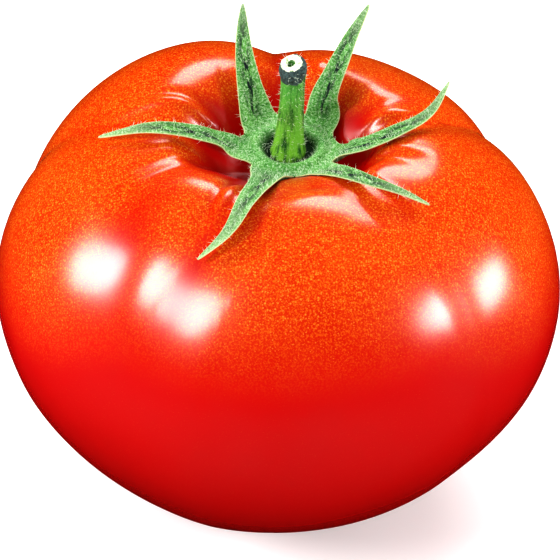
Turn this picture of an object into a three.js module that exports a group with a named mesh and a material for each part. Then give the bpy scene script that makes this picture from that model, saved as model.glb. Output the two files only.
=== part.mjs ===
// A ripe, ribbed round tomato as picked: the fruit, the green star of six sepals on its disc, and the
// short cut stem with its knuckle. Millimetres, +Z up. The origin is the middle of the flat spot that the
// fruit rests on, and -Y is the front, between the two sepals that hang over the shoulder.
import * as THREE from "three";
import { mergeVertices } from "three/addons/utils/BufferGeometryUtils.js";

// ---- Driving dimensions -------------------------------------------------------------------------------
const FRUIT_RADIUS = 39.4; // of the plain round body, before its lobes and grooves
const EQUATOR_HEIGHT = 34.6; // height of the widest ring above the table
const UNDERSIDE_DEPTH = 35.4; // what the lower half would measure with no flat spot
const UPPER_DEPTH = 33.2; // what the upper half would measure with no hollow
const LOWER_ROUNDNESS = 1.85; // superellipse powers: 2 is a true ellipse, less is more tapered
const UPPER_ROUNDNESS = 1.9;
const FLAT_SPOT_RADIUS = 6.6;
const TOP_START_RADIUS = 23; // inside this radius the shoulder rolls over into the stem hollow
const SHOULDER = { radius: 15.5, height: 63.4 };
const HOLLOW_WALL = { radius: 9.3, height: 60.1 };
const HOLLOW_FOOT = { radius: 5.6, height: 57.5 };
const HOLLOW_HEIGHT = 57.0; // the skin under the middle of the star
const HOLLOW_SHIFT = 1; // how far right of the fruit's axis the hollow is sunk
const GROOVE_FOOT = 4; // height over the table at which the side grooves start
const SWELL_FOOT = 8; // and the same of the larger lobes
const GROOVE_SPREAD = { hollow: 0.75, side: 1.35 }; // grooves are narrow in the hollow, wide on the side

const SKIN_GAP = 0.4; // the star lies this far off the skin
const PIECE_GAP = 0.3; // between the disc, the sepals and the stem
const DISC_RADIUS = 5.6;
const DISC_EDGE = 0.8; // the disc's thickness at its rim, where the sepals leave it
const DISC_RIM_RADIUS = 4.3;
const DISC_RIM_HEIGHT = 2.2; // above the disc's underside
const DISC_CUP_RADIUS = 2.9; // the stem stands in this cup
const DISC_CUP_HEIGHT = 0.8;
const DISC_CENTRE = new THREE.Vector2(1.6, 0.2);
const SEPAL_BASE_RADIUS = DISC_RADIUS + PIECE_GAP;
const SEPAL_THICKNESS = 0.9;
const STEM_LENGTH = 15.4;
const STEM_LEAN = 0.5; // how far the knuckle stands to the right of the foot
const STEM_END_TILT = 0.25; // slope of the cut end, which looks left and to the front

const degrees = THREE.MathUtils.degToRad;
const lerp = THREE.MathUtils.lerp;
const smooth = THREE.MathUtils.smoothstep;

// ---- Fruit ------------------------------------------------------------------------------------------------
// Nine grooves run out from the hollow. Angles are in degrees from +X, counter-clockwise from above, in the
// hollow, on the shoulder and at the equator. depth is the cut at the shoulder and sideDepth at the equator;
// reach is the radius at which the shoulder's cut has died out; width and blunt set the cut's section.
const GROOVES = [
  { at: [88, 90, 92], depth: 3.3, sideDepth: 1.6, reach: 38, width: 4.6, blunt: 1.0 },
  { at: [166, 176, 160], depth: 2.5, sideDepth: 1.4, reach: 38, width: 3.6, blunt: 0.8 },
  { at: [197, 208, 203], depth: 1.9, sideDepth: 0, reach: 27, width: 2.8, blunt: 1.0 },
  { at: [241, 250, 232], depth: 1.3, sideDepth: 1.1, reach: 38, width: 6.0, blunt: 3.0 },
  { at: [264, 265, 251], depth: 1.4, sideDepth: 0, reach: 31, width: 2.4, blunt: 0.9 },
  { at: [297, 304, 313], depth: 1.5, sideDepth: 0, reach: 29, width: 2.6, blunt: 0.9 },
  { at: [313, 320, 318], depth: 1.5, sideDepth: 0.9, reach: 38, width: 5.0, blunt: 2.0 },
  { at: [334, 339, 337], depth: 1.8, sideDepth: 0, reach: 25, width: 2.6, blunt: 1.0 },
  { at: [349, 366, 388], depth: 2.6, sideDepth: 1.8, reach: 38, width: 3.6, blunt: 0.8 },
];
// Lobes that stand a little larger than the round body: direction, swell and half-width in degrees.
const SWELLS = [
  { towards: 128, swell: 1.8, spread: 32 },
  { towards: 178, swell: 1.1, spread: 35 },
  { towards: 60, swell: -0.6, spread: 45 },
  { towards: 350, swell: 1.5, spread: 40 },
];
const COLUMNS_PER_DEGREE = 0.17;
const FEWEST_COLUMNS = 6;

// Height of the plain body's lower and upper halves at a radius.
const lowerHeight = (r) =>
  EQUATOR_HEIGHT - UNDERSIDE_DEPTH * (1 - (r / FRUIT_RADIUS) ** LOWER_ROUNDNESS) ** (1 / LOWER_ROUNDNESS);
const upperHeight = (r) =>
  EQUATOR_HEIGHT + UPPER_DEPTH * (1 - (r / FRUIT_RADIUS) ** UPPER_ROUNDNESS) ** (1 / UPPER_ROUNDNESS);

// The shoulder and the stem hollow, from the skin under the star out to TOP_START_RADIUS.
const topCurve = new THREE.SplineCurve([
  new THREE.Vector2(0, HOLLOW_HEIGHT),
  new THREE.Vector2(HOLLOW_FOOT.radius, HOLLOW_FOOT.height),
  new THREE.Vector2(HOLLOW_WALL.radius, HOLLOW_WALL.height),
  new THREE.Vector2(SHOULDER.radius, SHOULDER.height),
  new THREE.Vector2(TOP_START_RADIUS, upperHeight(TOP_START_RADIUS)),
  new THREE.Vector2(TOP_START_RADIUS + 3, upperHeight(TOP_START_RADIUS + 3)),
]);

// Height of the plain skin above a point of the top, for what lies on it.
function topHeight(radius) {
  if (radius >= TOP_START_RADIUS) return upperHeight(Math.min(radius, FRUIT_RADIUS - 0.01));
  let low = 0;
  let high = 0.9;
  for (let i = 0; i < 30; i++) {
    const middle = (low + high) / 2;
    if (topCurve.getPoint(middle).x < radius) low = middle;
    else high = middle;
  }
  return topCurve.getPoint(low).y;
}

// Underside of the disc at a distance from its middle, and the heights that hang on it.
const discUnderside = (r) => topHeight(r + DISC_CENTRE.x - HOLLOW_SHIFT) + SKIN_GAP;
const DISC_FOOT = discUnderside(0);
const DISC_TOP = discUnderside(DISC_RADIUS) + DISC_EDGE;

// The plain body's half outline, from the middle of the flat spot up and over to the middle of the hollow.
function fruitOutline() {
  const LOWER_RINGS = 11;
  const UPPER_RINGS = 9;
  const TOP_RINGS = 13;
  const outline = [new THREE.Vector2(0, 0), new THREE.Vector2(FLAT_SPOT_RADIUS / 2, 0)];
  const startAngle = Math.asin(FLAT_SPOT_RADIUS / FRUIT_RADIUS);
  for (let i = 0; i < LOWER_RINGS; i++) {
    const radius = FRUIT_RADIUS * Math.sin(lerp(startAngle, Math.PI / 2, i / LOWER_RINGS));
    const foot = lowerHeight(FLAT_SPOT_RADIUS);
    outline.push(new THREE.Vector2(radius, Math.max(0, lowerHeight(radius) - foot * (1 - i / LOWER_RINGS))));
  }
  const endAngle = Math.asin(TOP_START_RADIUS / FRUIT_RADIUS);
  for (let i = 0; i < UPPER_RINGS; i++) {
    const radius = FRUIT_RADIUS * Math.sin(lerp(Math.PI / 2, endAngle, i / UPPER_RINGS));
    outline.push(new THREE.Vector2(radius, upperHeight(radius)));
  }
  for (let i = 0; i < TOP_RINGS; i++) {
    const radius = TOP_START_RADIUS * (1 - i / TOP_RINGS);
    outline.push(new THREE.Vector2(radius, topHeight(radius)));
  }
  outline.push(new THREE.Vector2(0, HOLLOW_HEIGHT));
  return outline;
}

// A groove's angle where the skin is at this radius and height.
function grooveAngle(groove, radius, height) {
  const [hollow, shoulder, side] = groove.at;
  if (height < EQUATOR_HEIGHT) return side;
  const onShoulder = smooth(radius, HOLLOW_FOOT.radius, SHOULDER.radius);
  const onSide = smooth(radius, SHOULDER.radius, FRUIT_RADIUS);
  return lerp(lerp(hollow, shoulder, onShoulder), side, onSide);
}

// How deep a groove is cut here, before its section is applied.
function grooveDepth(groove, radius, height) {
  if (height < EQUATOR_HEIGHT) return groove.sideDepth * smooth(height, GROOVE_FOOT, EQUATOR_HEIGHT);
  const inner = smooth(radius, HOLLOW_FOOT.radius / 4, HOLLOW_WALL.radius);
  const fade = 1 - smooth(radius, SHOULDER.radius, groove.reach);
  return inner * lerp(groove.sideDepth, groove.depth, fade);
}

function fruit() {
  const outline = fruitOutline();
  const spans = GROOVES.map((groove, i) => {
    const next = GROOVES[(i + 1) % GROOVES.length];
    const turn = i + 1 === GROOVES.length ? 360 : 0;
    const width = next.at[1] + turn - groove.at[1];
    const columns = Math.max(FEWEST_COLUMNS, Math.round(width * COLUMNS_PER_DEGREE));
    return { groove, next, turn, columns };
  });
  const columns = spans.flatMap((span) => Array.from({ length: span.columns }, (_, c) => ({ ...span, c })));
  const lathe = new THREE.LatheGeometry(outline, columns.length);
  const position = lathe.getAttribute("position");
  const rings = outline.length;
  for (let column = 0; column <= columns.length; column++) {
    const { groove, next, turn, columns: count, c } = columns[column % columns.length];
    const share = 0.5 - 0.5 * Math.cos((Math.PI * c) / count); // crowded towards both grooves
    for (let ring = 0; ring < rings; ring++) {
      const { x: radius, y: height } = outline[ring];
      const from = grooveAngle(groove, radius, height);
      const angle = lerp(from, grooveAngle(next, radius, height) + turn, share);
      const point = skinPoint(outline, ring, angle);
      position.setXYZ(column * rings + ring, point.x, point.y, point.z);
    }
  }
  return closed(lathe);
}

// A point of the finished skin: the plain body, moved along its normal by the lobes and grooves.
function skinPoint(outline, ring, angle) {
  const { x: radius, y: height } = outline[ring];
  const before = outline[Math.max(0, ring - 1)];
  const after = outline[Math.min(outline.length - 1, ring + 1)];
  const normal = new THREE.Vector2(after.y - before.y, before.x - after.x).normalize();
  let out = 0;
  for (const { towards, swell, spread } of SWELLS) {
    const off = THREE.MathUtils.euclideanModulo(angle - towards + 180, 360) - 180;
    const grown = swell * smooth(height, SWELL_FOOT, EQUATOR_HEIGHT);
    out += grown * smooth(radius, HOLLOW_FOOT.radius, TOP_START_RADIUS) * Math.exp(-((off / spread) ** 2));
  }
  for (const groove of GROOVES) {
    const off = THREE.MathUtils.euclideanModulo(angle - grooveAngle(groove, radius, height) + 180, 360) - 180;
    const distance = Math.hypot(radius * degrees(off), groove.blunt) - groove.blunt;
    const outward = smooth(radius, SHOULDER.radius / 2, FRUIT_RADIUS);
    const width = groove.width * lerp(GROOVE_SPREAD.hollow, GROOVE_SPREAD.side, outward);
    out -= grooveDepth(groove, radius, height) * Math.exp(-distance / width);
  }
  const flat = height === 0 ? 0 : 1;
  const r = radius + out * normal.x * flat;
  const sunk = height > EQUATOR_HEIGHT ? 1 - smooth(radius, HOLLOW_FOOT.radius, TOP_START_RADIUS) : 0;
  return new THREE.Vector3(
    r * Math.cos(degrees(angle)) + HOLLOW_SHIFT * sunk,
    r * Math.sin(degrees(angle)),
    Math.max(0, height + out * normal.y * flat),
  );
}

// The same closed skin with shared vertices.
function closed(geometry) {
  geometry.deleteAttribute("normal");
  geometry.deleteAttribute("uv");
  return mergeVertices(geometry, 1e-3);
}

// ---- Star of sepals ---------------------------------------------------------------------------------------
// Each sepal leaves the disc in the direction base, in degrees. path holds points along the middle of the
// blade from just outside the disc to the tip. halfWidth is its widest half, roll turns the blade about its
// own length, and webs gives the extra half-width at its foot on the clockwise and the other side, where
// green skin joins it to its neighbours.
const SEPALS = [
  {
    name: "sepal_left",
    base: 190,
    path: [[-7.4, -0.7, 60.1], [-10.9, -1.7, 62.4], [-17.6, -2.6, 64.1], [-25, -0.7, 61.0]],
    halfWidth: 1.9,
    roll: -10,
    webs: [1.4, 1.4],
  },
  {
    name: "sepal_back_left",
    base: 128,
    path: [[-3.7, 7.6, 62.0], [-4.6, 11, 65.9], [-4.9, 14.5, 68.6], [-4.9, 17.8, 70.5]],
    halfWidth: 2.2,
    roll: 0,
    webs: [1.6, 1.4],
  },
  {
    name: "sepal_back_right",
    base: 48,
    path: [[6.6, 7.0, 62.0], [8.4, 9.8, 65.3], [10.4, 13.6, 67.9], [12.9, 18, 70.2]],
    halfWidth: 2.2,
    roll: 0,
    webs: [0.8, 1.6],
  },
  {
    name: "sepal_right",
    base: 341,
    path: [[9.4, -2.7, 60.3], [12.8, -3.4, 62.1], [16.9, -2.4, 63.6], [21.2, 1.3, 63.9], [23.9, 5.4, 66.1]],
    halfWidth: 1.7,
    roll: 8,
    webs: [1.2, 1.4],
  },
  {
    name: "sepal_front_right",
    base: 308,
    path: [[8.3, -8.8, 61.4], [13.2, -13.9, 63.4], [16.7, -14.5, 62.4], [20.8, -14.9, 60.3]],
    halfWidth: 1.6,
    roll: 10,
    webs: [3.5, 1.2],
  },
  {
    name: "sepal_front_left",
    base: 247,
    path: [[-2, -11.2, 61.4], [-4.4, -18.1, 63.3], [-6.7, -22.3, 61.5], [-10.9, -24.7, 58.7]],
    halfWidth: 2.1,
    roll: 0,
    webs: [1.6, 3.5],
  },
];
const SEPAL_SECTIONS = 20;
const SEPAL_SIDES = 8;
const WEB_REACH = 2.4; // over this length the green skin between two sepals dies out
const FOOT_RUN = 1.2; // the sepal starts straight out from the disc

// Share of a sepal's full half-width: a little narrower at the disc, then a long taper.
const sepalTaper = (t) => lerp(0.85, 1, smooth(t, 0, 0.15)) * (1 - t) ** 0.7 * 0.96 + 0.05;

// Half the angle to the sepal on one side: the next one clockwise (-1) or the other way (1).
function halfGap(sepal, side) {
  const gaps = SEPALS.filter((other) => other !== sepal).map((other) =>
    THREE.MathUtils.euclideanModulo(side * (other.base - sepal.base), 360),
  );
  return Math.min(...gaps) / 2;
}

function sepalSpine(sepal) {
  const direction = new THREE.Vector3(Math.cos(degrees(sepal.base)), Math.sin(degrees(sepal.base)), 0);
  const foot = new THREE.Vector3(DISC_CENTRE.x, DISC_CENTRE.y, DISC_TOP - DISC_EDGE / 2);
  foot.addScaledVector(direction, SEPAL_BASE_RADIUS);
  const next = foot.clone().addScaledVector(direction, FOOT_RUN);
  next.z += FOOT_RUN / 3;
  const path = sepal.path.map((point) => new THREE.Vector3(...point));
  return new THREE.CatmullRomCurve3([foot, next, ...path]);
}

// A blade with a lens-shaped section, drawn along its spine from a closed cylinder.
function sepalBlade(sepal) {
  const spine = sepalSpine(sepal);
  const length = spine.getLength();
  const limits = [-1, 1].map((side) => Math.tan(degrees(halfGap(sepal, side))));
  const geometry = closed(new THREE.CylinderGeometry(1, 1, 1, SEPAL_SIDES, SEPAL_SECTIONS));
  const position = geometry.getAttribute("position");
  for (let i = 0; i < position.count; i++) {
    const t = (0.5 - position.getY(i)) ** 1.5; // sections crowded towards the foot
    const middle = spine.getPointAt(t);
    const along = spine.getTangentAt(t);
    const across = new THREE.Vector3(0, 0, 1).cross(along).normalize();
    across.applyAxisAngle(along, degrees(sepal.roll) * smooth(t, 0.1, 0.4));
    const face = along.clone().cross(across);
    const side = position.getX(i) < 0 ? 0 : 1;
    const web = sepal.webs[side] * Math.exp((-length * t) / WEB_REACH);
    const blade = sepal.halfWidth * sepalTaper(t) + web;
    const run = Math.hypot(middle.x - DISC_CENTRE.x, middle.y - DISC_CENTRE.y);
    const width = Math.min(blade, run * limits[side] - PIECE_GAP / 2);
    const half = (SEPAL_THICKNESS / 2) * lerp(1, 0.45, t);
    middle.addScaledVector(across, position.getX(i) * width);
    middle.addScaledVector(face, position.getZ(i) * half);
    position.setXYZ(i, middle.x, middle.y, middle.z);
  }
  return geometry;
}

// The disc that the sepals and the stem grow from: a shallow saucer with a raised rim and a cup.
function disc() {
  const outline = [
    new THREE.Vector2(0, DISC_FOOT),
    new THREE.Vector2(DISC_RADIUS / 2, discUnderside(DISC_RADIUS / 2)),
    new THREE.Vector2(DISC_RADIUS, DISC_TOP - DISC_EDGE),
    new THREE.Vector2(DISC_RADIUS, DISC_TOP),
    new THREE.Vector2(DISC_RIM_RADIUS, DISC_FOOT + DISC_RIM_HEIGHT),
    new THREE.Vector2(DISC_CUP_RADIUS, DISC_FOOT + DISC_CUP_HEIGHT),
    new THREE.Vector2(0, DISC_FOOT + DISC_CUP_HEIGHT),
  ];
  const geometry = new THREE.LatheGeometry(outline, 36);
  geometry.rotateX(Math.PI / 2);
  geometry.translate(DISC_CENTRE.x, DISC_CENTRE.y, 0);
  return closed(geometry);
}

// The cut stem: flared at its foot, swollen at the knuckle where it was picked, with a bored end.
function stem() {
  const KNUCKLE = 0.85; // share of the stem's length
  const outline = [
    new THREE.Vector2(0, 0),
    new THREE.Vector2(2.3, 0),
    new THREE.Vector2(2.1, 1.6),
    new THREE.Vector2(1.8, 4),
    new THREE.Vector2(1.65, 8),
    new THREE.Vector2(1.6, STEM_LENGTH - 4),
    new THREE.Vector2(2.0, STEM_LENGTH - 2.8),
    new THREE.Vector2(2.05, STEM_LENGTH - 1.5),
    new THREE.Vector2(1.4, STEM_LENGTH),
    new THREE.Vector2(0.45, STEM_LENGTH),
    new THREE.Vector2(0.35, STEM_LENGTH - 0.8),
    new THREE.Vector2(0, STEM_LENGTH - 0.8),
  ];
  const geometry = new THREE.LatheGeometry(outline, 20);
  geometry.rotateX(Math.PI / 2);
  const position = geometry.getAttribute("position");
  for (let i = 0; i < position.count; i++) {
    const share = Math.max(0, position.getZ(i) / STEM_LENGTH);
    const x = position.getX(i);
    const y = position.getY(i);
    const tilted = smooth(share, KNUCKLE, 1);
    position.setX(i, x + STEM_LEAN * (smooth(share, 0, 0.6) - tilted));
    position.setZ(i, position.getZ(i) + STEM_END_TILT * (x + y) * tilted);
  }
  geometry.translate(DISC_CENTRE.x, DISC_CENTRE.y, DISC_FOOT + DISC_CUP_HEIGHT + PIECE_GAP);
  return closed(geometry);
}

// ---- Assembly -------------------------------------------------------------------------------------------
const skin = new THREE.MeshStandardMaterial({ color: 0xd62410, roughness: 0.25, metalness: 0 });
const leaf = new THREE.MeshStandardMaterial({ color: 0x4f8f4a, roughness: 0.75, metalness: 0 });
const stalk = new THREE.MeshStandardMaterial({ color: 0x5b9a35, roughness: 0.7, metalness: 0 });

function piece(name, geometry, material) {
  const mesh = new THREE.Mesh(geometry, material);
  mesh.name = name;
  return mesh;
}

const tomato = new THREE.Group();
tomato.add(piece("fruit", fruit(), skin));
tomato.add(piece("calyx_disc", disc(), leaf));
for (const sepal of SEPALS) tomato.add(piece(sepal.name, sepalBlade(sepal), leaf));
tomato.add(piece("stem", stem(), stalk));

export default tomato;
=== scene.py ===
import math
import random

import bmesh
import bpy
import numpy as np
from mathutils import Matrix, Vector, noise
from mathutils.bvhtree import BVHTree


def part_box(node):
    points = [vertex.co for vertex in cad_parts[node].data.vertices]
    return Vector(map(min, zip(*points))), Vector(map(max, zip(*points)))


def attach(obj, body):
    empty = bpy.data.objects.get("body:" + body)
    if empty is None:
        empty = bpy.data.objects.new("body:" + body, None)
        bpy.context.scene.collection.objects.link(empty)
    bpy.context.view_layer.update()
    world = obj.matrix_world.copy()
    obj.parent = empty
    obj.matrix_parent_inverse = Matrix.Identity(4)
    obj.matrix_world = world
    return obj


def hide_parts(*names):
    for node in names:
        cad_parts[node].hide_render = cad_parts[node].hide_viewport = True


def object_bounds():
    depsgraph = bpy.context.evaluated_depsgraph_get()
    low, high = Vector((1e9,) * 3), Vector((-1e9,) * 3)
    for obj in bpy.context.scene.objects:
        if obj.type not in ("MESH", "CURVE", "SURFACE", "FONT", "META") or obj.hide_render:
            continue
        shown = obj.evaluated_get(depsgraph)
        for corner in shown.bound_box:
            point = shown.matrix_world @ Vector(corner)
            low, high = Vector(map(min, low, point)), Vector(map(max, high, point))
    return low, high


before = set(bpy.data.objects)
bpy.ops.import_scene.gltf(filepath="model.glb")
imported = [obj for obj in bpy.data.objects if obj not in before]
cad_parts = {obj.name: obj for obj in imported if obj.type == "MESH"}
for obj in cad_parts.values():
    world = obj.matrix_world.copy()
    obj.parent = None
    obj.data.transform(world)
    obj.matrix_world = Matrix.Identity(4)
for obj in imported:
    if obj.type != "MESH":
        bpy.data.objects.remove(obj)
cad_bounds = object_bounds()
bpy.ops.object.select_all(action="DESELECT")
MM = 0.001


# ---- Fruit --------------------------------------------------------------------------------------------
# A ripe ribbed tomato: soft flesh under a thin, tight, waxy skin. It swelled between nine seams that stay
# tied down at the stem, so its shoulders roll over into a hollow and the skin is puckered along the seams.


def node_copy(node, name):
    """A new object with a CAD node's mesh, its loose triangles merged into one skin."""
    piece = bpy.data.objects.new(name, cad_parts[node].data.copy())
    piece.data.materials.clear()
    bpy.context.scene.collection.objects.link(piece)
    bpy.context.view_layer.objects.active = piece
    piece.select_set(True)
    bpy.ops.object.mode_set(mode="EDIT")
    bpy.ops.mesh.select_all(action="SELECT")
    bpy.ops.mesh.remove_doubles(threshold=MERGE_DISTANCE)
    bpy.ops.mesh.tris_convert_to_quads(face_threshold=math.pi, shape_threshold=math.pi)
    bpy.ops.object.mode_set(mode="OBJECT")
    return piece


def finish_modifier(piece, kind, **settings):
    """Adds a modifier to the active piece and applies it at once."""
    modifier = piece.modifiers.new(kind.title(), kind)
    for name, value in settings.items():
        setattr(modifier, name, value)
    bpy.ops.object.modifier_apply(modifier=modifier.name)


def points_of(piece):
    """The piece's vertices as rows of x, y and z."""
    points = np.zeros(len(piece.data.vertices) * 3)
    piece.data.vertices.foreach_get("co", points)
    return points.reshape(-1, 3)


def normals_of(piece):
    """The piece's vertex normals as rows of x, y and z."""
    normals = np.zeros(len(piece.data.vertices) * 3)
    piece.data.vertex_normals.foreach_get("vector", normals)
    return normals.reshape(-1, 3)


def move_points(piece, points):
    """Puts the piece's vertices at these places."""
    piece.data.vertices.foreach_set("co", np.ascontiguousarray(points).ravel())
    piece.data.update()


def mark(piece, name, values):
    """Stores one number for each vertex, for the material to read."""
    attribute = piece.data.attributes.new(name, "FLOAT", "POINT")
    attribute.data.foreach_set("value", np.asarray(values, dtype=np.float32))


def smoothstep(values, low, high):
    """0 below low, 1 above high, and an even curve between them."""
    share = np.clip((values - low) / (high - low), 0, 1)
    return share * share * (3 - 2 * share)


def on_fold(fold, rising, fading):
    """How far each point of the skin belongs to a fold, from 0 to 1. rising and fading say over which
    stretch it comes in at its inner end and goes at its outer end, in millimetres from that end."""
    inner, outer = (reach * MM for reach in fold["reach"])
    share = np.clip((from_hollow - inner) / (outer - inner), 0, 1)
    along = fold["turn"][0] + (fold["turn"][1] - fold["turn"][0]) * share
    aside = from_hollow * np.radians((turn - along + 180) % 360 - 180)
    run = smoothstep(from_hollow, inner + rising[0] * MM, inner + rising[1] * MM)
    run *= 1 - smoothstep(from_hollow, outer + fading[0] * MM, outer + fading[1] * MM)
    return run * np.exp(-((aside / (fold["width"] * MM)) ** 2))


MERGE_DISTANCE = 0.005 * MM
disc_low, disc_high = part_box("calyx_disc")
DISC_MIDDLE = Vector(((disc_low.x + disc_high.x) / 2, (disc_low.y + disc_high.y) / 2, 0))
HOLLOW_CENTRE = 1 * MM  # how far the middle of the hollow is to the right of the fruit's axis
SHOULDERS = 45 * MM  # the height above which the shoulders and the hollow are
# Fine puckers: direction in degrees and distance in millimetres from the hollow's middle at both ends,
# half width and height in millimetres. A height below zero is a thin fold pressed in.
PUCKERS = [
    {"turn": (157, 168), "reach": (11, 23), "width": 0.8, "height": 0.45},
    {"turn": (152, 161), "reach": (11, 20), "width": 0.7, "height": -0.25},
    {"turn": (14, 13), "reach": (12, 22), "width": 0.8, "height": 0.45},
    {"turn": (22, 21), "reach": (12, 20), "width": 0.7, "height": -0.2},
    {"turn": (240, 243), "reach": (9, 22), "width": 0.8, "height": 0.45},
    {"turn": (233, 238), "reach": (9, 21), "width": 0.7, "height": -0.35},
    {"turn": (316, 321), "reach": (13, 26), "width": 0.75, "height": 0.4},
    {"turn": (200, 201), "reach": (12, 24), "width": 0.8, "height": -0.35},
    {"turn": (342, 345), "reach": (10, 20), "width": 0.8, "height": 0.3},
    {"turn": (71, 72), "reach": (8, 20), "width": 0.8, "height": 0.35},
    {"turn": (110, 108), "reach": (8, 21), "width": 0.8, "height": 0.35},
]
# Seams painted redder between the orange lobes, as painted shade in the creases and under the sepals:
# direction and reach at both ends, and half width, as above.
SHADED_RED_SEAMS = [
    {"turn": (167, 199), "reach": (10, 23), "width": 2.2},
    {"turn": (213, 222), "reach": (12, 34), "width": 4.5},
    {"turn": (247, 241), "reach": (13, 33), "width": 2.4},
    {"turn": (338, 312), "reach": (9, 25), "width": 2.4},
    {"turn": (356, 341), "reach": (9, 20), "width": 2.2},
    {"turn": (20, 24), "reach": (11, 22), "width": 2.0},
    {"turn": (90, 90), "reach": (8, 24), "width": 3.0},
    {"turn": (148, 158), "reach": (11, 22), "width": 2.0},
]
# The front swell: the distance from the disc's middle and the height at which it starts, how far it rises
# and over what run, and how softly it joins the skin.
FRONT_FOOT = (7 * MM, 58.7 * MM)
FRONT_RISE = 3.7 * MM
FRONT_RUN = 4.2 * MM
FRONT_BLEND = 0.35 * MM
DISC_SINK = 0.9 * MM
# Filled flank valleys: direction in degrees, rise and half width in millimetres.
FLANK_FILLS = [(231, 0.35, 5), (318, 0.5, 5)]
WAVE_LENGTH = 14 * MM  # the slight unevenness of the ripe flesh
WAVE_HEIGHT = 0.22 * MM
SCAR_RADIUS = 1.6 * MM
SCAR_DIMPLE = 3.5 * MM
SCAR_DEPTH = 0.7 * MM
# The colour takes the flanks to be higher than they are, as painted light from the side lamps, and the
# hollow and the seams lower, as painted shade.
LIT_FLANK_LIFT = 8 * MM
HOLLOW_SHADE_DROP = 11 * MM
SEAM_SHADE_DROP = 10 * MM

skin = node_copy("fruit", "tomato_skin")
finish_modifier(skin, "SUBSURF", levels=2, render_levels=2)
points = points_of(skin)
normals = normals_of(skin)
from_hollow = np.hypot(points[:, 0] - HOLLOW_CENTRE, points[:, 1])
turn = np.degrees(np.arctan2(points[:, 1], points[:, 0] - HOLLOW_CENTRE)) % 360
on_top = smoothstep(points[:, 2], SHOULDERS, 52 * MM)
pucker = np.zeros(len(points))
for fold in PUCKERS:
    pucker += fold["height"] * MM * on_fold(fold, rising=(-2, 2), fading=(-4, 3))
points += normals * (pucker * on_top)[:, None]
# A slight unevenness of the ripe flesh, and the dimple with the dry scar where the flower sat.
wave = np.array([noise.noise(Vector(point) / WAVE_LENGTH) for point in points])
points += normals * (WAVE_HEIGHT * wave * smoothstep(points[:, 2], 2 * MM, 12 * MM))[:, None]
from_axis = np.hypot(points[:, 0], points[:, 1])
underneath = points[:, 2] < 10 * MM
dimple = np.where(underneath, 1 - smoothstep(from_axis, 0, SCAR_DIMPLE), 0)
points[:, 2] += SCAR_DEPTH * dimple
# In front the flesh swelled up against the underside of the star.
off_star = points[:, :2] - np.array(DISC_MIDDLE.xy)
from_star = np.hypot(off_star[:, 0], off_star[:, 1])
star_turn = np.degrees(np.arctan2(off_star[:, 1], off_star[:, 0])) % 360
in_front = smoothstep(star_turn, 244, 264) * (1 - smoothstep(star_turn, 306, 326))
filled = FRONT_FOOT[1] + FRONT_RISE * (1 - np.exp((FRONT_FOOT[0] - from_star) / FRONT_RUN))
higher = np.logaddexp(points[:, 2] / FRONT_BLEND, filled / FRONT_BLEND) * FRONT_BLEND
near_star = in_front * (points[:, 2] > SHOULDERS) * (1 - smoothstep(from_star, 12 * MM, 22 * MM))
points[:, 2] += (higher - points[:, 2]) * near_star
# Under the disc it is sunk a little.
points[:, 2] -= DISC_SINK * (1 - smoothstep(from_hollow, 4 * MM, 7 * MM)) * (points[:, 2] > SHOULDERS)
# Two valleys of the flanks are filled a little, as the ripe flesh there is full.
axis_turn = np.degrees(np.arctan2(points[:, 1], points[:, 0]))
for way, rise, spread in FLANK_FILLS:
    aside = from_axis * np.radians((axis_turn - way + 180) % 360 - 180)
    tall = smoothstep(points[:, 2], 24 * MM, 46 * MM) * (1 - smoothstep(points[:, 2], 57 * MM, 62 * MM))
    points += normals * (rise * MM * np.exp(-((aside / (spread * MM)) ** 2)) * tall)[:, None]
move_points(skin, points)

# How far each point stands out of its surroundings: lobes are above zero and seams are below.
rounded = skin.copy()
rounded.data = skin.data.copy()
bpy.context.scene.collection.objects.link(rounded)
bpy.context.view_layer.objects.active = rounded
finish_modifier(rounded, "SMOOTH", factor=0.9, iterations=160)
stands_out = np.einsum("ij,ij->i", points - points_of(rounded), normals_of(skin))
bpy.data.objects.remove(rounded)
mark(skin, "lobe", np.clip(stands_out / (0.6 * MM), -1, 1))
# How high the colour takes each point to be: the flanks turn orange lower down, as painted light, and the
# hollow and the seams later, as painted shade.
colour_and_light_height = points[:, 2] + LIT_FLANK_LIFT * smoothstep(np.abs(points[:, 0]), 20 * MM, 36 * MM)
# Painted shade: the hollow is taken lower, so it stays redder.
colour_and_light_height -= HOLLOW_SHADE_DROP * (1 - smoothstep(from_hollow, 8 * MM, 15 * MM)) * (points[:, 2] > SHOULDERS)
for fold in SHADED_RED_SEAMS:
    colour_and_light_height -= SEAM_SHADE_DROP * on_fold(fold, rising=(-4, 0), fading=(-5, 3))
mark(skin, "colour_and_light_height", colour_and_light_height)
mark(skin, "scar", np.where(underneath, 1 - smoothstep(from_axis, 0.6 * SCAR_RADIUS, SCAR_RADIUS), 0))
bpy.context.view_layer.objects.active = skin
bpy.ops.object.shade_smooth()
skin.select_set(False)


def linear(hex_colour, alpha=1.0):
    """An sRGB hex colour as the linear values that a shader takes."""
    channels = [int(hex_colour[i : i + 2], 16) / 255 for i in (1, 3, 5)]
    return [c / 12.92 if c <= 0.04045 else ((c + 0.055) / 1.055) ** 2.4 for c in channels] + [alpha]


def new_material(name):
    """An empty material with its Principled shader, its node tree and the piece's own coordinates."""
    material = bpy.data.materials.new(name)
    material.use_nodes = True
    tree = material.node_tree
    place = add_node(tree, "ShaderNodeTexCoord").outputs["Object"]
    return material, tree, tree.nodes["Principled BSDF"], place


def add_node(tree, kind, settings=None, inputs=None):
    """Adds one node. settings are its own options; inputs gives each socket a value or a socket to read."""
    node = tree.nodes.new(kind)
    for name, value in (settings or {}).items():
        setattr(node, name, value)
    for name, value in (inputs or {}).items():
        if isinstance(value, bpy.types.NodeSocket):
            tree.links.new(value, node.inputs[name])
        else:
            node.inputs[name].default_value = value
    return node


FACTOR, FIRST, SECOND, MIXED = 0, 6, 7, 2  # sockets of a colour Mix node
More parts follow.
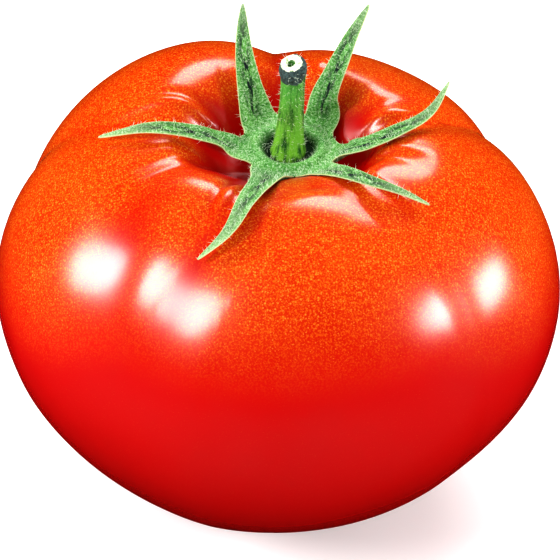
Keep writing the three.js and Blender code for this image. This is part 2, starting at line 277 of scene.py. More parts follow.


# Tomato skin, a thin clear cuticle over red flesh: glossy and tight, orange on the lobes and shoulders, and
# peppered there with golden grain and flecks up to 0.3 mm across. The orange is partly the skin's own
# colour and partly painted light on the lit lobes and flanks; the deeper red in the seams, the hollow and
# low down is painted shade.
material, tree, shader, place = new_material("ripe_tomato_skin")
height = add_node(tree, "ShaderNodeSeparateXYZ", None, {"Vector": place}).outputs["Z"]
colour_and_light_height = add_node(tree, "ShaderNodeAttribute", {"attribute_name": "colour_and_light_height"}).outputs["Fac"]
lobe = add_node(tree, "ShaderNodeAttribute", {"attribute_name": "lobe"}).outputs["Fac"]
scar = add_node(tree, "ShaderNodeAttribute", {"attribute_name": "scar"}).outputs["Fac"]
mottle = add_node(
    tree,
    "ShaderNodeTexNoise",
    None,
    {"Vector": place, "Scale": 1 / (9 * MM), "Detail": 4.0, "Roughness": 0.6},
).outputs["Fac"]
grain = add_node(
    tree,
    "ShaderNodeTexNoise",
    None,
    {"Vector": place, "Scale": 1 / (0.5 * MM), "Detail": 2.0, "Roughness": 0.7},
).outputs["Fac"]
# Painted light and shade: more orange where the lamps fall on the upper lobes and flanks, less in the
# shaded seams and hollow.
upper = add_node(
    tree,
    "ShaderNodeMapRange",
    {"interpolation_type": "SMOOTHSTEP"},
    {"Value": colour_and_light_height, "From Min": 42.5 * MM, "From Max": 57.5 * MM},
).outputs["Result"]
# Painted shade: the seams between the lobes keep only a fifth of the orange.
lobe_light_share = add_node(
    tree, "ShaderNodeMapRange", None, {"Value": lobe, "From Min": -0.5, "From Max": 0.5, "To Min": 0.2}
).outputs["Result"]
paler = add_node(
    tree, "ShaderNodeMath", {"operation": "MULTIPLY"}, {0: upper, 1: lobe_light_share}
).outputs["Value"]
patchy = add_node(
    tree, "ShaderNodeMapRange", None, {"Value": mottle, "From Min": 0.35, "From Max": 0.65, "To Min": 0.5}
).outputs["Result"]
orange_share = add_node(
    tree, "ShaderNodeMath", {"operation": "MULTIPLY"}, {0: paler, 1: patchy}
).outputs["Value"]
# Painted shade: the red is darker towards the bottom, where less light falls.
shade_toward_bottom = add_node(
    tree,
    "ShaderNodeMapRange",
    None,
    {"Value": height, "From Min": 8 * MM, "From Max": 46 * MM},
).outputs["Result"]
red = add_node(
    tree,
    "ShaderNodeMix",
    {"data_type": "RGBA"},
    {FACTOR: shade_toward_bottom, FIRST: linear("#920202"), SECOND: linear("#CA0401")},
).outputs[MIXED]
flesh = add_node(
    tree,
    "ShaderNodeMix",
    {"data_type": "RGBA"},
    {FACTOR: orange_share, FIRST: red, SECOND: linear("#DC4204")},
).outputs[MIXED]
cells = add_node(
    tree,
    "ShaderNodeTexVoronoi",
    {"feature": "F1"},
    {"Vector": place, "Scale": 1 / (0.34 * MM), "Randomness": 1.0},
)
cell_value = add_node(
    tree, "ShaderNodeSeparateColor", None, {"Color": cells.outputs["Color"]}
).outputs["Red"]
dense = add_node(
    tree,
    "ShaderNodeMath",
    {"operation": "MULTIPLY_ADD"},
    {0: paler, 1: 1.1, 2: 0.05},
).outputs["Value"]
fleck_size = add_node(
    tree, "ShaderNodeMath", {"operation": "SUBTRACT", "use_clamp": True}, {0: dense, 1: cell_value}
).outputs["Value"]
fleck_reach = add_node(
    tree, "ShaderNodeMath", {"operation": "MULTIPLY"}, {0: fleck_size, 1: 0.36}
).outputs["Value"]
inside = add_node(
    tree,
    "ShaderNodeMath",
    {"operation": "SUBTRACT"},
    {0: fleck_reach, 1: cells.outputs["Distance"]},
).outputs["Value"]
fleck = add_node(
    tree, "ShaderNodeMapRange", None, {"Value": inside, "From Min": -0.12, "From Max": 0.1}
).outputs["Result"]
grainy_fleck = add_node(
    tree, "ShaderNodeMath", {"operation": "MULTIPLY"}, {0: fleck, 1: grain}
).outputs["Value"]
fine = add_node(
    tree,
    "ShaderNodeTexNoise",
    None,
    {"Vector": place, "Scale": 1 / (0.27 * MM), "Detail": 2.0, "Roughness": 0.7},
).outputs["Fac"]
fine_share = add_node(
    tree, "ShaderNodeMapRange", None, {"Value": fine, "From Min": 0.47, "From Max": 0.66, "To Max": 0.7}
).outputs["Result"]
fine_grain = add_node(
    tree, "ShaderNodeMath", {"operation": "MULTIPLY"}, {0: paler, 1: fine_share}
).outputs["Value"]
peppered = add_node(
    tree,
    "ShaderNodeMix",
    {"data_type": "RGBA"},
    {FACTOR: fine_grain, FIRST: flesh, SECOND: linear("#EE8C1A")},
).outputs[MIXED]
flecked = add_node(
    tree,
    "ShaderNodeMix",
    {"data_type": "RGBA"},
    {FACTOR: grainy_fleck, FIRST: peppered, SECOND: linear("#F8B444")},
).outputs[MIXED]
scarred = add_node(
    tree,
    "ShaderNodeMix",
    {"data_type": "RGBA"},
    {FACTOR: scar, FIRST: flecked, SECOND: linear("#8A6238")},
).outputs[MIXED]
tree.links.new(scarred, shader.inputs["Base Color"])
dulled = add_node(
    tree,
    "ShaderNodeMapRange",
    None,
    {"Value": mottle, "From Min": 0.2, "From Max": 0.8, "To Min": 0.2, "To Max": 0.27},
).outputs["Result"]
tree.links.new(dulled, shader.inputs["Roughness"])
ripple = add_node(
    tree, "ShaderNodeBump", None, {"Height": grain, "Strength": 0.12, "Distance": 0.02 * MM}
).outputs["Normal"]
tree.links.new(ripple, shader.inputs["Normal"])
shader.inputs["IOR"].default_value = 1.45
shader.inputs["Specular IOR Level"].default_value = 0.9
shader.inputs["Subsurface Weight"].default_value = 0.15
shader.inputs["Subsurface Radius"].default_value = (4 * MM, 1 * MM, 0.5 * MM)
shader.inputs["Subsurface Scale"].default_value = 1.0
shader.inputs["Coat Weight"].default_value = 0.1
shader.inputs["Coat Roughness"].default_value = 0.12
skin.data.materials.append(material)
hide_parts("fruit")
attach(skin, "root")


# ---- Green star --------------------------------------------------------------------------------------
# The calyx: a thick disc with a sunken cup for the stem, and six hairy green sepals that grow from it and
# are webbed together at their feet. It grew as one, and lies on the shoulders of the fruit.
SEPAL_NODES = ["sepal_right", "sepal_back_right", "sepal_back_left"]
SEPAL_NODES += ["sepal_left", "sepal_front_left", "sepal_front_right"]  # counter-clockwise from above
COLUMNS = 8  # faces across a sepal
WEB_ROWS = 3  # faces along a sepal, from the disc to the notches beside it
BLADE_ROWS = 22  # and from the notches to its tip
DISC_RIM = (disc_high.x - disc_low.x) / 2
SHEET_THICKNESS = 0.6 * MM
THIN_EDGE = 0.4  # share of that thickness at the margin
THINNING = 1.2 * MM  # how far in from the margin it reaches its full thickness
SHEET_RAISE = 0.25 * MM  # the sheet's upper face over the middle of the CAD blade
INNER = 5 * MM  # distance from the margin that is given to the disc and the webs, which have none near
USUAL_PARTING = 0.28 * MM  # how far a blade's edge stands off its neighbour where they part
PARTING = {"sepal_front_left": 1.2 * MM}  # in front the web is broad and its margin is a shallow arc
BLADE_FOLD = 0.22  # depth of the fold along the midrib, and height of the curls, as shares of half width
CURL_HEIGHT = 0.10
CURL_LENGTH = 2.6 * MM
SKIN_CLEARANCE = 0.12 * MM
STAR_REACH = 32 * MM  # no sepal lies further out than this from the middle of the hollow


def blade_rings(node):
    """The middle, the clockwise edge and the other edge of each ring of a CAD blade, from foot to tip."""
    shell = bmesh.new()
    shell.from_mesh(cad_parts[node].data)
    bmesh.ops.remove_doubles(shell, verts=shell.verts, dist=MERGE_DISTANCE)
    ends = [v for v in shell.verts if len(v.link_edges) == 8]
    foot = min(ends, key=lambda v: (v.co.xy - DISC_MIDDLE.xy).length)
    outward = foot.co - DISC_MIDDLE
    across = Vector((-outward.y, outward.x, 0)).normalized()
    seen = {foot}
    ring = [foot]
    rings = []
    while True:
        ring = list(dict.fromkeys(e.other_vert(v) for v in ring for e in v.link_edges))
        ring = [v for v in ring if v not in seen]
        if len(ring) < 8:
            break
        seen.update(ring)
        middle = sum((v.co for v in ring), Vector()) / len(ring)
        clockwise = min(ring, key=lambda v: v.co.dot(across)).co.copy()
        other = max(ring, key=lambda v: v.co.dot(across)).co.copy()
        across = (other - clockwise).normalized()
        rings.append((middle, clockwise, other))
    shell.free()
    return [np.array(line) for line in zip(*rings)]


def along_line(line, share):
    """The point at a share of a line's steps."""
    steps = np.arange(len(line))
    return np.array([np.interp(share * (len(line) - 1), steps, line[:, axis]) for axis in range(3)])


def bearing(point):
    """Direction of a point from the middle of the disc, in radians counter-clockwise from +X."""
    return math.atan2(point[1] - DISC_MIDDLE.y, point[0] - DISC_MIDDLE.x) % math.tau


blades = {node: blade_rings(node) for node in SEPAL_NODES}
bases = {node: bearing(blades[node][0][0]) for node in SEPAL_NODES}
DISC_EDGE_HEIGHT = np.mean([blades[node][0][0][2] for node in SEPAL_NODES]) + SHEET_RAISE


def notch_between(node, after):
    """Where two neighbours part: direction, distance, height, and the share of each one's length."""
    gap = (bases[after] - bases[node]) % math.tau
    direction = bases[node] + gap / 2
    way = np.array([math.cos(direction), math.sin(direction)])
    found = []
    for edge in (blades[node][2], blades[after][1]):
        flat = edge[:, :2] - np.array(DISC_MIDDLE.xy)
        aside = np.abs(flat[:, 0] * way[1] - flat[:, 1] * way[0])
        last = int(np.argmax(aside > PARTING.get(node, USUAL_PARTING))) - 1
        last = max(last, 1)
        found.append((float(flat[last] @ way), edge[last][2], last / (len(edge) - 1)))
    distance = (found[0][0] + found[1][0]) / 2
    rise = (found[0][1] + found[1][1]) / 2 + SHEET_RAISE
    return {"way": direction, "run": distance, "rise": rise, "before": found[0][2], "after": found[1][2]}


notches = {}
for i, node in enumerate(SEPAL_NODES):
    notches[node] = notch_between(node, SEPAL_NODES[(i + 1) % len(SEPAL_NODES)])


def disc_point(direction, run, rise):
    """A point at a direction and a distance from the middle of the disc."""
    return np.array(
        [DISC_MIDDLE.x + run * math.cos(direction), DISC_MIDDLE.y + run * math.sin(direction), rise]
    )


def column_bearings(node):
    """Directions of the columns of a sepal at the disc, from the clockwise notch to the other."""
    before = notches[SEPAL_NODES[SEPAL_NODES.index(node) - 1]]["way"]
    after = notches[node]["way"]
    left = -((before - bases[node] + math.pi) % math.tau - math.pi)
    right = (after - bases[node] + math.pi) % math.tau - math.pi
    shares = np.linspace(-1, 1, COLUMNS + 1)
    return [bases[node] + (share * left if share < 0 else share * right) for share in shares]


def sepal_grid(node):
    """Rows of places on a sepal's upper face, and their distances along, across and from the margin."""
    middle, clockwise, other = blades[node]
    notch_cw = notches[SEPAL_NODES[SEPAL_NODES.index(node) - 1]]
    notch_ccw = notches[node]
    start_cw, start_ccw = notch_cw["after"], notch_ccw["before"]
    start = (start_cw + start_ccw) / 2
    lift = np.array([0, 0, SHEET_RAISE])
    shares = np.linspace(-1, 1, COLUMNS + 1)
    rows, runs, ribs, edges = [], [], [], []
    travelled = DISC_RIM
    previous = None
    for row in range(WEB_ROWS + BLADE_ROWS + 1):
        if row == 0:
            line = [disc_point(way, DISC_RIM, DISC_EDGE_HEIGHT) for way in column_bearings(node)]
            line = np.array(line)
            centre = line[COLUMNS // 2]
        else:
            if row <= WEB_ROWS:
                part = row / WEB_ROWS
                cw, ccw = (
                    disc_point(
                        notch["way"],
                        DISC_RIM + (notch["run"] - DISC_RIM) * part,
                        DISC_EDGE_HEIGHT + (notch["rise"] - DISC_EDGE_HEIGHT) * part,
                    )
                    for notch in (notch_cw, notch_ccw)
                )
                centre = along_line(middle, start * part) + lift
            else:
                part = (row - WEB_ROWS) / BLADE_ROWS
                cw = along_line(clockwise, start_cw + (1 - start_cw) * part) + lift
                ccw = along_line(other, start_ccw + (1 - start_ccw) * part) + lift
                centre = along_line(middle, start + (1 - start) * part) + lift
            slope = (ccw - cw) / 2
            bow = (ccw + cw) / 2 - centre
            line = np.array([centre + share * slope + share * share * bow for share in shares])
        width = np.linalg.norm(line[-1] - line[0]) / 2
        if previous is not None:
            travelled += np.linalg.norm(centre - previous)
        previous = centre
        rows.append(line)
        runs.append(np.full(COLUMNS + 1, travelled))
        ribs.append(shares * width)
        edges.append(np.where(row >= WEB_ROWS, width * (1 - np.abs(shares)), INNER))
    return np.array(rows), np.array(runs), np.array(ribs), np.array(edges)


def shape_blade(rows):
    """Folds a blade along its midrib, curls its edges and lets it wander a little, as it dried."""
    shaped = rows.copy()
    count = len(rows)
    shares = np.linspace(-1, 1, COLUMNS + 1)
    for row in range(1, count):
        ahead = rows[min(row + 1, count - 1), COLUMNS // 2]
        behind = rows[row - 1, COLUMNS // 2]
        across = rows[row, -1] - rows[row, 0]
        up = np.cross(ahead - behind, across)
        up /= np.linalg.norm(up)
        width = np.linalg.norm(across) / 2
        grown = smoothstep(row, 0, WEB_ROWS + 2)
        fold = BLADE_FOLD * width * (np.abs(shares) ** 1.4 - 0.35)
        ripple = noise.noise(Vector(rows[row, 0]) / CURL_LENGTH) * CURL_HEIGHT * width
        ripple_far = noise.noise(Vector(rows[row, -1]) / CURL_LENGTH) * CURL_HEIGHT * width
        wavy = np.where(shares < 0, ripple, ripple_far) * np.abs(shares) ** 2
        shaped[row] += up * ((fold + wavy) * grown)[:, None]
    return shaped


def grid_piece(name, columns, rows, points):
    """A flat grid of faces whose vertices are put at these rows of points."""
    bpy.ops.mesh.primitive_grid_add(x_subdivisions=columns, y_subdivisions=rows, size=1)
    piece = bpy.context.object
    piece.name = name
    move_points(piece, points.reshape(-1, 3))
    return piece


# The disc: from a pole under the stem, over the floor of the cup and its rim, to the sepals' feet.
CUP_FLOOR = disc_low.z + 0.45 * MM
DISC_PROFILE = [
    (0.4 * MM, CUP_FLOOR),
    (1.6 * MM, CUP_FLOOR),
    (2.9 * MM, CUP_FLOOR + 0.05 * MM),
    (3.5 * MM, CUP_FLOOR + 0.7 * MM),
    (4.2 * MM, disc_high.z - 0.35 * MM),
    (4.8 * MM, disc_high.z - 0.15 * MM),
    (5.2 * MM, (disc_high.z + DISC_EDGE_HEIGHT) / 2),
    (DISC_RIM, DISC_EDGE_HEIGHT),
]
all_ways = []
for node in SEPAL_NODES:
    all_ways += column_bearings(node)[:-1]
all_ways.append(all_ways[0] + math.tau)
disc_rows = np.array([[disc_point(way, run, rise) for way in all_ways] for run, rise in DISC_PROFILE])
disc = grid_piece("calyx_disc_top", len(all_ways) - 1, len(DISC_PROFILE) - 1, disc_rows)
mark(disc, "run", np.repeat([run for run, rise in DISC_PROFILE], len(all_ways)))
mark(disc, "rib", np.zeros(len(DISC_PROFILE) * len(all_ways)))
mark(disc, "from_edge", np.full(len(DISC_PROFILE) * len(all_ways), INNER))
star_parts = [disc]
for node in SEPAL_NODES:
    rows, runs, ribs, edges = sepal_grid(node)
    sepal = grid_piece(node + "_top", COLUMNS, len(rows) - 1, shape_blade(rows))
    mark(sepal, "run", runs.ravel())
    mark(sepal, "rib", ribs.ravel())
    mark(sepal, "from_edge", edges.ravel())
    star_parts.append(sepal)
for number, part in enumerate(star_parts):
    belongs = part.data.attributes.new("part", "INT", "FACE")
    belongs.data.foreach_set("value", np.full(len(part.data.polygons), number, dtype=np.int32))
    part.select_set(True)
bpy.context.view_layer.objects.active = disc
bpy.ops.object.join()
star = bpy.context.object
bpy.ops.object.mode_set(mode="EDIT")
bpy.ops.mesh.select_all(action="SELECT")
bpy.ops.mesh.remove_doubles(threshold=0.02 * MM)
bpy.ops.mesh.select_all(action="DESELECT")
bpy.ops.mesh.select_mode(type="EDGE")
bpy.ops.object.mode_set(mode="OBJECT")
open_edges = bmesh.new()
open_edges.from_mesh(star.data)
for edge in open_edges.edges:
    near = max((v.co.xy - DISC_MIDDLE.xy).length for v in edge.verts)
    edge.select_set(edge.is_boundary and near < 1 * MM)
open_edges.to_mesh(star.data)
open_edges.free()
bpy.ops.object.mode_set(mode="EDIT")
bpy.ops.mesh.merge(type="CENTER")
bpy.ops.mesh.select_mode(type="VERT")
bpy.ops.mesh.select_all(action="SELECT")
bpy.ops.mesh.normals_make_consistent(inside=False)
bpy.ops.object.mode_set(mode="OBJECT")
thick = star.vertex_groups.new(name="thick")
edge_values = np.zeros(len(star.data.vertices))
star.data.attributes["from_edge"].data.foreach_get("value", edge_values)
for index, value in enumerate(np.clip(edge_values / THINNING, THIN_EDGE, 1)):
    thick.add([index], float(value), "REPLACE")
finish_modifier(star, "SOLIDIFY", thickness=SHEET_THICKNESS, offset=-1, vertex_group="thick")
finish_modifier(star, "SUBSURF", levels=2, render_levels=2)
bpy.ops.object.shade_smooth()


# Leaf of the star: mid green under a felt of tiny pale hairs, blackish where the ribs have bruised, with
# a thin cream line where the leaf's margin has dried.
material, tree, shader, place = new_material("sepal_leaf")
rib = add_node(tree, "ShaderNodeAttribute", {"attribute_name": "rib"}).outputs["Fac"]
run = add_node(tree, "ShaderNodeAttribute", {"attribute_name": "run"}).outputs["Fac"]
from_edge = add_node(tree, "ShaderNodeAttribute", {"attribute_name": "from_edge"}).outputs["Fac"]
leaf_lie = add_node(tree, "ShaderNodeCombineXYZ", None, {"X": rib, "Y": run}).outputs["Vector"]
stretched = add_node(
    tree, "ShaderNodeMapping", {"vector_type": "POINT"}, {"Vector": leaf_lie, "Scale": (1.0, 0.22, 1.0)}
).outputs["Vector"]
streaks = add_node(
    tree,
    "ShaderNodeTexNoise",
    None,
    {"Vector": stretched, "Scale": 1 / (0.7 * MM), "Detail": 4.0, "Roughness": 0.65},
).outputs["Fac"]
felt = add_node(
    tree,
    "ShaderNodeTexNoise",
    None,
    {"Vector": place, "Scale": 1 / (0.28 * MM), "Detail": 3.0, "Roughness": 0.8},
).outputs["Fac"]
patches = add_node(
    tree,
    "ShaderNodeTexNoise",
    None,
    {"Vector": place, "Scale": 1 / (2.5 * MM), "Detail": 3.0, "Roughness": 0.6},
).outputs["Fac"]
green = add_node(
    tree,
    "ShaderNodeMix",
    {"data_type": "RGBA"},
    {FACTOR: patches, FIRST: linear("#2F7C38"), SECOND: linear("#8ACB66")},
).outputs[MIXED]
felt_share = add_node(
    tree,
    "ShaderNodeMapRange",
    None,
    {"Value": felt, "From Min": 0.5, "From Max": 0.64, "To Max": 0.8},
).outputs["Result"]
felted = add_node(
    tree,
    "ShaderNodeMix",
    {"data_type": "RGBA"},
    {FACTOR: felt_share, FIRST: green, SECOND: linear("#D6EACB")},
).outputs[MIXED]
closed = add_node(
    tree, "ShaderNodeMapRange", None, {"Value": felt, "From Min": 0.36, "From Max": 0.46}
).outputs["Result"]
open_pore = add_node(
    tree, "ShaderNodeMath", {"operation": "SUBTRACT"}, {0: 1.0, 1: closed}
).outputs["Value"]
pore = add_node(
    tree, "ShaderNodeMath", {"operation": "MULTIPLY"}, {0: open_pore, 1: 0.7}
).outputs["Value"]
grained = add_node(
    tree,
    "ShaderNodeMix",
    {"data_type": "RGBA"},
    {FACTOR: pore, FIRST: felted, SECOND: linear("#12401C")},
).outputs[MIXED]
rib_off = add_node(tree, "ShaderNodeMath", {"operation": "ABSOLUTE"}, {0: rib}).outputs["Value"]
past_rib = add_node(
    tree, "ShaderNodeMapRange", None, {"Value": rib_off, "From Min": 0.2 * MM, "From Max": 1.2 * MM}
).outputs["Result"]
near_rib = add_node(
    tree, "ShaderNodeMath", {"operation": "SUBTRACT"}, {0: 1.0, 1: past_rib}
).outputs["Value"]
on_blade = add_node(
    tree,
    "ShaderNodeMapRange",
    {"interpolation_type": "SMOOTHSTEP"},
    {"Value": run, "From Min": 6 * MM, "From Max": 9 * MM},
).outputs["Result"]
at_tip = add_node(
    tree, "ShaderNodeMapRange", None, {"Value": run, "From Min": 18 * MM, "From Max": 27 * MM}
).outputs["Result"]
short_of_tip = add_node(
    tree, "ShaderNodeMath", {"operation": "SUBTRACT"}, {0: on_blade, 1: at_tip}
).outputs["Value"]
bruise_place = add_node(
    tree, "ShaderNodeMath", {"operation": "MULTIPLY", "use_clamp": True}, {0: near_rib, 1: short_of_tip}
).outputs["Value"]
bruise_noise = add_node(
    tree, "ShaderNodeMapRange", None, {"Value": streaks, "From Min": 0.44, "From Max": 0.54}
).outputs["Result"]
bruise = add_node(
    tree, "ShaderNodeMath", {"operation": "MULTIPLY"}, {0: bruise_place, 1: bruise_noise}
).outputs["Value"]
bruised = add_node(
    tree,
    "ShaderNodeMix",
    {"data_type": "RGBA"},
    {FACTOR: bruise, FIRST: grained, SECOND: linear("#1E2C2C")},
).outputs[MIXED]
# The cup is dark round the stem, where neither light nor hairs reach.
past_cup = add_node(
    tree, "ShaderNodeMapRange", None, {"Value": run, "From Min": 3.3 * MM, "From Max": 4.3 * MM}
).outputs["Result"]
in_cup = add_node(
    tree, "ShaderNodeMath", {"operation": "SUBTRACT"}, {0: 1.0, 1: past_cup}
).outputs["Value"]
tip_share = add_node(
    tree, "ShaderNodeMath", {"operation": "MULTIPLY"}, {0: at_tip, 1: 0.3}
).outputs["Value"]
tipped = add_node(
    tree,
    "ShaderNodeMix",
    {"data_type": "RGBA"},
    {FACTOR: tip_share, FIRST: bruised, SECOND: linear("#C9D4B2")},
).outputs[MIXED]
cupped = add_node(
    tree,
    "ShaderNodeMix",
    {"data_type": "RGBA"},
    {FACTOR: in_cup, FIRST: tipped, SECOND: linear("#0F2E10")},
).outputs[MIXED]
past_margin = add_node(
    tree, "ShaderNodeMapRange", None, {"Value": from_edge, "From Min": 0.02 * MM, "From Max": 0.16 * MM}
).outputs["Result"]
margin = add_node(
    tree, "ShaderNodeMath", {"operation": "SUBTRACT", "use_clamp": True}, {0: 0.6, 1: past_margin}
).outputs["Value"]
edged = add_node(
    tree,
    "ShaderNodeMix",
    {"data_type": "RGBA"},
    {FACTOR: margin, FIRST: cupped, SECOND: linear("#E6E8B4")},
).outputs[MIXED]
tree.links.new(edged, shader.inputs["Base Color"])
shader.inputs["Specular IOR Level"].default_value = 0.25
shader.inputs["Roughness"].default_value = 0.7
shader.inputs["Sheen Weight"].default_value = 0.1
shader.inputs["Sheen Roughness"].default_value = 0.4
relief = add_node(
    tree, "ShaderNodeMath", {"operation": "ADD"}, {0: felt, 1: streaks}
).outputs["Value"]
leaf_bump = add_node(
    tree, "ShaderNodeBump", None, {"Height": relief, "Strength": 0.6, "Distance": 0.12 * MM}
).outputs["Normal"]
tree.links.new(leaf_bump, shader.inputs["Normal"])
star.data.materials.clear()
star.data.materials.append(material)

# Where the star lies on the fruit, the skin is pressed down under it.
sheet = star.data
dome = BVHTree.FromPolygons([v.co for v in sheet.vertices], [list(f.vertices) for f in sheet.polygons])
points = points_of(skin)
for index in np.flatnonzero((points[:, 2] > 50 * MM) & (from_hollow < STAR_REACH)):
    x, y, z = points[index]
    under = dome.ray_cast(Vector((x, y, 40 * MM)), Vector((0, 0, 1)))[0]
    if under is not None and under.z - SKIN_CLEARANCE < z:
        points[index, 2] = under.z - SKIN_CLEARANCE
move_points(skin, points)

# The hairs: short, soft and nearly white, each one a thin three-sided cone.
material, tree, shader, place = new_material("plant_hair")
shader.inputs["Base Color"].default_value = linear("#E4EFD8")
shader.inputs["Roughness"].default_value = 0.6
hair = material
HAIR_RADIUS = 0.035 * MM
HAIR_LENGTHS = (0.45, 0.95)  # the shortest and the longest, in millimetres
HAIR_ROOT = 0.03 * MM  # how deep a hair sits in the leaf
STAR_HAIRS = 190  # on the disc, and on each sepal


def add_hairs(piece, count, seed):
    """Grows hairs from the piece's upward and outward faces, as part of its mesh."""
    chance = random.Random(seed)
    piece.data.materials.append(hair)
    slot = len(piece.data.materials) - 1
    shell = bmesh.new()
    shell.from_mesh(piece.data)
    shell.faces.ensure_lookup_table()
    open_faces = [f for f in shell.faces if f.normal.z > -0.3]
    for face in chance.choices(open_faces, weights=[f.calc_area() for f in open_faces], k=count):
        wander = Vector((chance.uniform(-1, 1), chance.uniform(-1, 1), chance.uniform(-0.4, 0.8)))
        way = (face.normal + 0.7 * wander).normalized()
        side = way.orthogonal().normalized()
        root = face.calc_center_median() - HAIR_ROOT * way
        tip = shell.verts.new(root + way * chance.uniform(*HAIR_LENGTHS) * MM)
        feet = []
        for corner in range(3):
            spin = math.tau * corner / 3
            spread = side * math.cos(spin) + way.cross(side) * math.sin(spin)
            feet.append(shell.verts.new(root + spread * HAIR_RADIUS))
        walls = [(feet[0], feet[1], tip), (feet[1], feet[2], tip), (feet[2], feet[0], tip)]
        for corners in walls + [(feet[2], feet[1], feet[0])]:
            shell.faces.new(corners).material_index = slot
    shell.to_mesh(piece.data)
    shell.free()


# The star is parted along the disc's rim and between the feet, and each cut is closed.
for number, node in enumerate(["calyx_disc"] + SEPAL_NODES):
    part = star.copy()
    part.data = star.data.copy()
    part.name = "star_" + node
    bpy.context.scene.collection.objects.link(part)
    cut = bmesh.new()
    cut.from_mesh(part.data)
    layer = cut.faces.layers.int["part"]
    bmesh.ops.delete(cut, geom=[f for f in cut.faces if f[layer] != number], context="FACES")
    opened = [e for e in cut.edges if e.is_boundary]
    if node == "calyx_disc":
        bmesh.ops.bridge_loops(cut, edges=opened)
    else:
        bmesh.ops.holes_fill(cut, edges=opened, sides=0)
    bmesh.ops.recalc_face_normals(cut, faces=cut.faces)
    cut.to_mesh(part.data)
    cut.free()
    part.data.set_sharp_from_angle(angle=math.radians(60))
    add_hairs(part, count=STAR_HAIRS, seed=number)
    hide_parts(node)
    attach(part, "root")
bpy.data.objects.remove(star)


# ---- Stem ---------------------------------------------------------------------------------------------
# A short piece of the green fruit stalk: flared and ribbed where it grows out of the disc, swollen and
# corky at the knuckle where it was picked, with a pale cut end that has a small hollow pith.
bpy.ops.object.select_all(action="DESELECT")
stem_low, stem_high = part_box("stem")
STEM_SIDES = 24
STEM_FOOT = Vector(
    ((stem_low.x + stem_high.x) / 2 - 0.3 * MM, DISC_MIDDLE.y - 0.7 * MM, CUP_FLOOR - 0.1 * MM)
)
STEM_HEIGHT = stem_high.z - STEM_FOOT.z - 0.9 * MM
STEM_LEAN = Vector((0.7, 0.7, 0)) * MM  # how far the top stands from over the foot
# Share of the height and radius of each ring.
STEM_RINGS = [
    (0.0, 2.75 * MM),
    (0.05, 2.45 * MM),
    (0.13, 2.15 * MM),
    (0.25, 1.95 * MM),
    (0.4, 1.78 * MM),
    (0.55, 1.68 * MM),
    (0.7, 1.64 * MM),
    (0.82, 1.68 * MM),
    (0.855, 1.78 * MM),
    (0.875, 1.92 * MM),
    (0.91, 1.97 * MM),
    (0.95, 1.88 * MM),
    (0.97, 1.72 * MM),
]
CUT_TILT = Vector((-0.16, -0.30, 1)).normalized()
# The cut end, as steps inwards, aside and up in millimetres.
CUT_INSETS = [(0.06, 0, 0.12), (0.24, -0.22, 0.08), (0.92, -0.1, 0), (0.08, 0, -0.15), (0.05, 0, -0.7)]
BORE_MIDDLE = Vector((-0.26, 0, 0)) * MM  # middle of the bore and cut face, from the middle of the top
BORE_RADIUS = 0.52 * MM
CUT_RADIUS = 1.5 * MM
KNUCKLE_HEIGHT = 2.2 * MM  # how far down from the cut the bark reaches
STALK_SKIN, KNUCKLE_BARK, PITH, BORE_LINING = range(4)  # the stem's materials, in the order they are added
STEM_HAIRS = 260

bpy.ops.mesh.primitive_circle_add(
    vertices=STEM_SIDES, radius=STEM_RINGS[0][1], fill_type="NGON", location=STEM_FOOT
)
stem = bpy.context.object
stem.name = "cut_stem"
bpy.ops.object.transform_apply(location=True, rotation=True, scale=True)
bpy.ops.object.mode_set(mode="EDIT")
for (share, radius), (before, wider) in zip(STEM_RINGS[1:], STEM_RINGS):
    lean = math.sin(share * math.pi / 2) - math.sin(before * math.pi / 2)
    rise = STEM_HEIGHT * (share - before)
    step = STEM_LEAN * lean + Vector((0, 0, rise))
    bpy.ops.mesh.extrude_region_move(TRANSFORM_OT_translate={"value": step})
    middle = STEM_FOOT + STEM_LEAN * math.sin(share * math.pi / 2) + Vector((0, 0, STEM_HEIGHT * share))
    scale = radius / wider
    bpy.ops.transform.resize(value=(scale, scale, 1), center_override=middle)
for inset, aside, rise in CUT_INSETS:
    bpy.ops.mesh.inset(thickness=inset * MM)
    bpy.ops.transform.translate(value=(aside * MM, 0, rise * MM))
bpy.ops.object.mode_set(mode="OBJECT")
cut_middle = STEM_FOOT + STEM_LEAN + Vector((0, 0, STEM_HEIGHT))
points = points_of(stem)
tilted = smoothstep(points[:, 2], cut_middle.z - 2.6 * MM, cut_middle.z)
slope = (points[:, 0] - cut_middle.x) * CUT_TILT.x + (points[:, 1] - cut_middle.y) * CUT_TILT.y
points[:, 2] -= slope / CUT_TILT.z * tilted
move_points(stem, points)
finish_modifier(stem, "SUBSURF", levels=2, render_levels=2)
bpy.ops.object.shade_smooth()
points = points_of(stem)
share = (points[:, 2] - STEM_FOOT.z) / STEM_HEIGHT
lean = np.sin(np.clip(share, 0, 1) * math.pi / 2)
off_axis = points[:, :2] - np.array(STEM_FOOT.xy) - np.outer(lean, STEM_LEAN.xy)
around = np.arctan2(off_axis[:, 1], off_axis[:, 0])
from_middle = np.hypot(off_axis[:, 0], off_axis[:, 1])
flutes = 0.07 * np.sin(5 * around + 1.2 * share) + 0.04 * np.sin(9 * around + 2)
knuckle = smoothstep(share, 0.83, 0.87) * (1 - smoothstep(share, 0.94, 0.98))
facets = 0.06 * np.sin(7 * around + 0.6) * knuckle
lump = np.array([noise.noise(Vector(point) / (1.1 * MM)) for point in points])
grown = (flutes * (1 - knuckle) + facets + 0.06 * lump) * smoothstep(from_middle, 0.8 * MM, 1.5 * MM)
points[:, :2] += off_axis / np.maximum(from_middle, 0.01 * MM)[:, None] * (grown * MM)[:, None]
move_points(stem, points)
mark(stem, "share", share)

